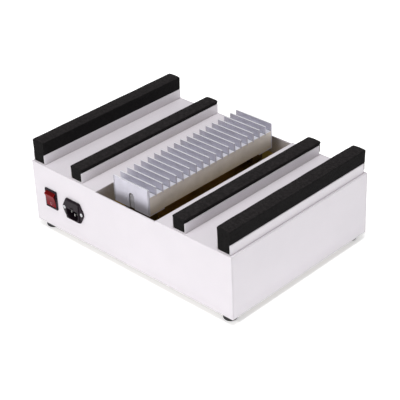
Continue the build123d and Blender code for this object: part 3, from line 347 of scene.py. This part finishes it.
def rocker_red():
    """Translucent red plastic: bright on its face, with a painted highlight along its edges,
    painted shade darkening its ends and painted shade making its flanks nearly black."""
    s = Shader("red_plastic", (0.30, 0.008, 0.014), 0.30)
    cloud = s.noise(9 * MM, detail=2.0)
    sideways = s.span(s.maths("ABSOLUTE", s.facing("X")), 0.4, 0.7)
    face = s.patches(cloud, (0.120, 0.0010, 0.0055), (0.185, 0.0016, 0.0080), 0.35, 0.65)
    # painted shade: nearly black on the flanks
    painted_shade_flank = s.patches(cloud, (0.022, 0.0010, 0.0020), (0.040, 0.0015, 0.0025), 0.35, 0.65)
    # painted shade: darker red on the ends
    end = s.patches(cloud, (0.085, 0.0012, 0.0015), (0.130, 0.0020, 0.0020), 0.35, 0.65)
    tone = s.mix(sideways, face, painted_shade_flank)
    tone = s.patches(s.facing("Z"), tone, end, 0.30, 0.62)
    # painted highlight along the edges and the ridge
    s.set("Base Color", s.over(tone, (0.62, 0.010, 0.010), s.edges(1.2 * MM), 0.9))
    s.set("Roughness", s.span(cloud, 0.3, 0.7, 0.34, 0.46))
    s.set("Normal", s.bump(s.noise(0.5 * MM), 0.006 * MM, 0.5))
    s.set("Specular IOR Level", 0.10)
    return s.material


def plated(name, tone, roughness):
    """Zinc, tin or turned brass: fine turning marks and dull patches."""
    s = Shader(name, tone, roughness, 1.0)
    cloud = s.noise(4 * MM, detail=4.0)
    turning = s.noise(0.25 * MM, detail=2.0, stretch=(1.0, 1.0, 0.15))
    dull = tuple(0.7 * c for c in tone)
    s.set("Base Color", s.patches(cloud, tone, dull, 0.35, 0.75))
    s.set("Roughness", s.span(cloud, 0.3, 0.7, roughness - 0.06, roughness + 0.12))
    s.set("Normal", s.bump(turning, 0.008 * MM, 0.5))
    return s.material


def clear_glass(name, tint):
    """Thin glass with a slight haze."""
    s = Shader(name, tint, 0.06)
    haze = s.noise(3 * MM, detail=2.0)
    s.set("Roughness", s.span(haze, 0.3, 0.8, 0.03, 0.10))
    s.set("Transmission Weight", 0.9)
    s.set("IOR", 1.47)
    return s.material


def layered(name, colour, roughness):
    """Mica or heater sheet: thin flakes in slightly different tones, with
    painted shade in the corners."""
    s = Shader(name, colour, roughness)
    flakes = s.cells(3.5 * MM, stretch=(1.0, 0.6, 1.0))
    darker = tuple(0.75 * c for c in colour)
    tone = s.patches(flakes, colour, darker, 0.1, 0.7)
    # painted shade in tight corners
    s.set("Base Color", s.over(tone, PAINTED_CORNER_SHADE, s.nook(2.6 * MM, 0.45, 0.92)))
    s.set("Roughness", s.span(flakes, 0.1, 0.7, roughness - 0.1, roughness + 0.1))
    s.set("Normal", s.bump(flakes, 0.03 * MM, 0.4))
    return s.material


MATERIALS = {
    "white_paint": white_paint(),
    "black_foam": black_foam(),
    # block: painted shade in its recesses and painted light on its top; fins: a lighter, bluer tone painted
    # in their gaps as light, and painted light on their tops
    "block_aluminium": aluminium(
        "block_aluminium", (0.78, 0.72, 0.665), "Y", 0.48, 0.35,
        recess=(0.42, 0.35, 0.27), reach=40 * MM, painted_top_light=(0.80, 0.80, 0.86),
    ),
    "fin_aluminium": aluminium(
        "fin_aluminium", (0.60, 0.585, 0.665), "X", 0.42, 0.50,
        recess=(0.68, 0.70, 0.79), reach=12 * MM, painted_top_light=(0.90, 0.90, 0.94),
    ),
    "golden_steel": golden_steel(),
    "phenolic": phenolic(),
    "black_plastic": moulded("black_plastic", (0.0105, 0.0060, 0.0100), 0.46, shine=0.14),
    "red_plastic": rocker_red(),
    "tinned_brass": plated("tinned_brass", (0.50, 0.49, 0.48), 0.36),
    "brass": plated("brass", (0.72, 0.52, 0.22), 0.30),
    "zinc_screw": plated("zinc_screw", (0.66, 0.67, 0.69), 0.30),
    "foot_rubber": moulded("foot_rubber", (0.018, 0.018, 0.018), 0.75, grain=0.8 * MM, depth=0.05 * MM),
    "silicone": moulded("silicone", (0.38, 0.07, 0.03), 0.55),
    "mica": layered("mica", (0.45, 0.38, 0.25), 0.45),
    "heater_foil": layered("heater_foil", (0.34, 0.33, 0.355), 0.45),
    "ceramic": moulded("ceramic", (0.74, 0.72, 0.66), 0.30, grain=1.5 * MM, depth=0.01 * MM, gloss=0.3),
    "glass": clear_glass("glass", (0.85, 0.90, 0.90)),
    "neon_glass": clear_glass("neon_glass", (0.95, 0.55, 0.42)),
    "wire_brown": moulded("wire_brown", (0.14, 0.045, 0.018), 0.45),
    "wire_blue": moulded("wire_blue", (0.02, 0.08, 0.38), 0.45),
    "wire_green": moulded("wire_green", (0.16, 0.36, 0.04), 0.45),
    "wire_glass": moulded("wire_glass", (0.70, 0.67, 0.56), 0.80, grain=0.6 * MM, depth=0.08 * MM),
}


def finish_cad_nodes():
    """Give every CAD node the shader of its material slot."""
    for part in frame["record"]["subparts"]:
        mesh = bpy.data.objects[part["node"]].data
        mesh.materials.clear()
        mesh.materials.append(MATERIALS[part["material_slot"]])


# ------------------------------------------------------------ object helpers
def new_object(name, mesh, material):
    """Turn a bmesh into an object in the scene."""
    data = bpy.data.meshes.new(name)
    mesh.to_mesh(data)
    mesh.free()
    data.materials.append(material)
    piece = bpy.data.objects.new(name, data)
    bpy.context.scene.collection.objects.link(piece)
    return piece


def bridge(mesh, first, second):
    """Faces between two closed loops of the same length."""
    total = len(first)
    for k in range(total):
        nxt = (k + 1) % total
        mesh.faces.new((first[k], first[nxt], second[nxt], second[k]))


# -------------------------------------------------------------- foam strips
RAILS = ("outer_left", "inner_left", "inner_right", "outer_right")
SEED = 7                   # of the first strip's unevenness; the others count on
SKIN_GAP = 0.1 * MM        # how far a strip stays inside its CAD solid
RAIL_GRIP = 1.45 * MM      # from a rail's outer face to the stem in it
SHOULDER_RISE = 0.3 * MM   # where the head starts, above the rail
SWELL = 0.5 * MM           # the head's first step outwards
SWELL_RISE = 0.3 * MM      # and its height
STEM_CUT = 2.6 * MM        # chamfer along the stem's lower edges
BASE_STEPS = 6             # mesh steps across the stem's foot
CUT_STEPS = 2              # up the chamfer
STEM_STEPS = 5             # and up the stem
HEAD_ROUND = 1.1 * MM      # radius along the head's upper edges
ROUND_STEPS = 4
CROWN = 0.7 * MM           # rise of the top to its middle
CROWN_STEPS = 10
ROW_HEIGHT = 2.2 * MM      # mesh rows up the head's sides
RING_STEP = 2.5 * MM       # mesh rings along the strip
END_GAP = 0.15 * MM        # from the CAD solid's ends to the cut ends
END_INSET = 0.35 * MM      # how far the end rings draw in, as a knife-cut edge
WAVE = 0.35 * MM           # depth of the long waves
WAVE_SCALE = (14, 22, 14)  # waves in a metre along each axis
WAVE_SINK = 1.4            # how much more a wave lowers the top than it narrows it
DENT = 0.12 * MM           # depth of the small dents
DENT_SCALE = (60, 90, 60)
WAVE_RISE = 6 * MM         # height over which both fade in above the rail
SEED_STEP = (3.7, 1.3, 0)  # from one strip to the next in the noise
CAP_SHARES = (0.93, 0.7, 0.4)   # sizes of the rings that close a cut face
CAP_ROUGH = 0.10 * MM      # roughness of that face
CAP_SCALE = 160            # bumps in a metre across it
SHARP_ANGLE = 38           # degrees; edges up to this are shaded smooth


def spaced(start, end, count):
    """Points from start towards end, which is left out."""
    shares = [k / count for k in range(count)]
    return [(start[0] + s * (end[0] - start[0]), start[1] + s * (end[1] - start[1])) for s in shares]


def half_profile(stem, head, bottom, shoulder, top):
    """Right half of a strip's cross-section (x, z), from its foot up to
    where its crowned top begins: a narrow stem and a wider head."""
    foot = (stem - STEM_CUT, bottom)
    hip = (stem, bottom + STEM_CUT)
    neck = (stem, shoulder)
    swell = (stem + SWELL, shoulder + SWELL_RISE)
    side = (head, top - CROWN - HEAD_ROUND)
    rows = max(3, round((side[1] - shoulder) / ROW_HEIGHT))
    points = spaced(foot, hip, CUT_STEPS) + spaced(hip, neck, STEM_STEPS) + [neck] + spaced(swell, side, rows)
    for k in range(ROUND_STEPS + 1):
        angle = math.radians(90 * k / ROUND_STEPS)
        x = head - HEAD_ROUND + HEAD_ROUND * math.cos(angle)
        points.append((x, side[1] + HEAD_ROUND * math.sin(angle)))
    return points


def foam_profile(low, high, shoulder, stem):
    """Closed cross-section (x, z) of a strip whose CAD box is low to high."""
    head = (high[0] - low[0]) / 2 - SKIN_GAP
    top = high[2] - SKIN_GAP
    right = half_profile(stem, head, low[2], shoulder, top)
    left = [(-x, z) for x, z in right]
    base = spaced(left[0], right[0], BASE_STEPS)
    crown = []
    for k in range(1, CROWN_STEPS):
        u = 1 - 2 * k / CROWN_STEPS
        crown.append((u * (head - HEAD_ROUND), top - CROWN * u * u))
    centre = (high[0] + low[0]) / 2
    return [(centre + x, z) for x, z in base + right + crown + left[:0:-1]]


def noise_at(x, y, z, scale, offset):
    """Smooth noise from -1 to 1 at a place."""
    return noise.noise(Vector((x * scale[0], y * scale[1], z * scale[2])) + offset)


def foam_ring(mesh, outline, y, box, shoulder, inset, offset):
    """One cross-section of a strip, pressed in a little by waves and dents."""
    low, high = box
    middle = (low[0] + high[0]) / 2
    ring = []
    for x, z in outline:
        above = min(1.0, max(0.0, (z - shoulder) / WAVE_RISE))
        wave = noise_at(x, y, z, WAVE_SCALE, offset) * WAVE * above
        dent = noise_at(x, y, z, DENT_SCALE, offset) * DENT * above
        side = (x - middle) / (high[0] - middle)
        new_x = x - abs(wave + dent) * side - inset * side
        new_z = z - (abs(wave) * WAVE_SINK + abs(dent) + inset) * above
        ring.append(mesh.verts.new((new_x, y, new_z)))
    return ring


def cap_end(mesh, ring, direction, seed):
    """Close one end with rings that shrink to the middle, so that the cut
    face can be slightly rough."""
    centre = sum((v.co for v in ring), Vector()) / len(ring)
    inner = ring
    for share in CAP_SHARES:
        new_ring = []
        for vertex in ring:
            place = centre + (vertex.co - centre) * share
            rough = noise.noise(place * CAP_SCALE + Vector((seed, 0, direction))) * CAP_ROUGH
            place.y = vertex.co.y - direction * abs(rough)
            new_ring.append(mesh.verts.new(place))
        bridge(mesh, inner, new_ring)
        inner = new_ring
    hub = mesh.verts.new(centre)
    for k in range(len(ring)):
        mesh.faces.new((inner[k], inner[(k + 1) % len(ring)], hub))


def foam_mesh(box, shoulder, stem, seed):
    """Rings along a strip, joined and closed at both ends."""
    low, high = box
    outline = foam_profile(low, high, shoulder, stem)
    offset = Vector((seed * SEED_STEP[0], seed * SEED_STEP[1], seed * SEED_STEP[2]))
    length = high[1] - low[1]
    count = round(length / RING_STEP)
    mesh = bmesh.new()
    rings = []
    for k in range(count + 1):
        y = low[1] + END_GAP + k / count * (length - 2 * END_GAP)
        inset = END_INSET if k in (0, count) else 0.0
        rings.append(foam_ring(mesh, outline, y, box, shoulder, inset, offset))
    for first, second in zip(rings, rings[1:]):
        bridge(mesh, first, second)
    cap_end(mesh, rings[0], -1, seed)
    cap_end(mesh, rings[-1], 1, seed)
    bmesh.ops.recalc_face_normals(mesh, faces=mesh.faces)
    return mesh


def foam_strip(rail, seed):
    """One strip of sponge, knife-cut at both ends and a little uneven."""
    node = rail + "_foam"
    rail_low, rail_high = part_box(rail + "_rail")
    stem = (rail_high[0] - rail_low[0]) / 2 - RAIL_GRIP
    shoulder = rail_high[2] + SHOULDER_RISE
    mesh = foam_mesh(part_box(node), shoulder, stem, seed)
    piece = new_object(node + "_strip", mesh, MATERIALS["black_foam"])
    for face in piece.data.polygons:
        face.use_smooth = True
    piece.data.set_sharp_from_angle(angle=math.radians(SHARP_ANGLE))
    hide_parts(node)
    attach(piece, "housing")


# --------------------------------------------------------------- rocker mark
MARK_PLACE = Vector((0, -6.02, -7.15)) * MM    # on the face, from the rocker's pivot
MARK_OUTER = 1.9 * MM
MARK_INNER = 1.45 * MM
MARK_THICK = 0.12 * MM
MARK_TALL = 1.25           # height over width
MARK_STEPS = 32


def rocker_pivot():
    """Where the rocker's hinge is in the frame."""
    joints = {joint["name"]: joint for joint in frame["record"]["behaviour"]["joints"]}
    return Vector(joints["rocker_hinge"]["pos_m"])


def mark_loop(mesh, centre, radius, out):
    """One loop of the ring, at a distance out from the face."""
    loop = []
    for k in range(MARK_STEPS):
        angle = 2 * math.pi * k / MARK_STEPS
        place = Vector((radius * math.cos(angle), -out, MARK_TALL * radius * math.sin(angle)))
        loop.append(mesh.verts.new(place + centre))
    return loop


def rocker_mark():
    """Pad-printed ring near the rocker's lower end, which turns with it."""
    mesh = bmesh.new()
    corners = ((MARK_OUTER, 0.0), (MARK_OUTER, MARK_THICK), (MARK_INNER, MARK_THICK), (MARK_INNER, 0.0))
    centre = rocker_pivot() + MARK_PLACE
    loops = [mark_loop(mesh, centre, radius, out) for radius, out in corners]
    for first, second in zip(loops, loops[1:] + loops[:1]):
        bridge(mesh, first, second)
    bmesh.ops.recalc_face_normals(mesh, faces=mesh.faces)
    piece = new_object("rocker_ring_mark", mesh, moulded("ring_paint", (0.34, 0.19, 0.21), 0.6))
    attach(piece, "rocker")


# --------------------------------------------------------------------- stage
def studio_floor():
    """Plain white floor, glowing slightly."""
    mesh = bmesh.new()
    bmesh.ops.create_grid(mesh, x_segments=1, y_segments=1, size=FLOOR_HALF)
    s = Shader("studio_floor", (FLOOR_ALBEDO, FLOOR_ALBEDO, FLOOR_ALBEDO), 0.9)
    s.set("Specular IOR Level", 0.1)
    s.set("Emission Color", (1.0, 1.0, 1.0))
    s.set("Emission Strength", FLOOR_GLOW)
    new_object("studio_floor", mesh, s.material)


def direction(azimuth, elevation):
    """Unit vector from the object out to an azimuth and an elevation."""
    a = math.radians(azimuth)
    e = math.radians(elevation)
    return Vector((math.sin(a) * math.cos(e), -math.cos(a) * math.cos(e), math.sin(e)))


def aimed(out):
    """Rotation that looks back along out."""
    return (-out).to_track_quat("-Z", "Y")


def area_light(name, azimuth, elevation, distance, size, watts, colour=(1, 1, 1)):
    """Soft round light aimed at the object."""
    data = bpy.data.lights.new(name, "AREA")
    data.shape = "DISK"
    data.size = size
    data.energy = watts
    data.color = colour
    light = bpy.data.objects.new(name, data)
    out = direction(azimuth, elevation)
    light.location = out * distance
    light.rotation_euler = aimed(out).to_euler()
    bpy.context.scene.collection.objects.link(light)


def world_light():
    """White surroundings, a little dimmer overhead."""
    world = bpy.data.worlds.new("studio")
    world.use_nodes = True
    tree = world.node_tree
    split = tree.nodes.new("ShaderNodeSeparateXYZ")
    tree.links.new(tree.nodes.new("ShaderNodeTexCoord").outputs["Generated"], split.inputs["Vector"])
    fade = tree.nodes.new("ShaderNodeMapRange")
    tree.links.new(split.outputs["Z"], fade.inputs["Value"])
    fade.inputs["From Min"].default_value = FADE_START
    fade.inputs["From Max"].default_value = FADE_END
    fade.inputs["To Min"].default_value = HORIZON
    fade.inputs["To Max"].default_value = ZENITH
    background = tree.nodes["Background"]
    background.inputs["Color"].default_value = (1.0, 1.0, 1.0, 1.0)
    tree.links.new(fade.outputs["Result"], background.inputs["Strength"])
    bpy.context.scene.world = world


def studio_light():
    """World light, a warm key in front, a weak side light and a top light."""
    world_light()
    area_light("key", -3, 38, distance=3.4, size=0.45, watts=31, colour=(1.0, 0.985, 0.97))
    area_light("side", 84, 20, distance=3.2, size=0.9, watts=2.5)
    area_light("top", 50, 74, distance=3.0, size=1.1, watts=46)


def main_camera():
    """Long-lens camera above the near corner, at the right of the front."""
    data = bpy.data.cameras.new("camera")
    data.lens = LENS
    data.sensor_width = SENSOR
    data.clip_end = FAR_CLIP
    camera = bpy.data.objects.new("camera", data)
    out = direction(AZIMUTH, ELEVATION)
    place = Matrix.Translation(TARGET + out * DISTANCE)
    roll = Matrix.Rotation(math.radians(ROLL), 4, "Z")
    camera.matrix_world = place @ aimed(out).to_matrix().to_4x4() @ roll
    bpy.context.scene.collection.objects.link(camera)
    bpy.context.scene.camera = camera


finish_cad_nodes()
for index, rail in enumerate(RAILS):
    foam_strip(rail, SEED + index)
rocker_mark()
studio_floor()
studio_light()
main_camera()
bpy.context.scene.view_settings.view_transform = "Standard"
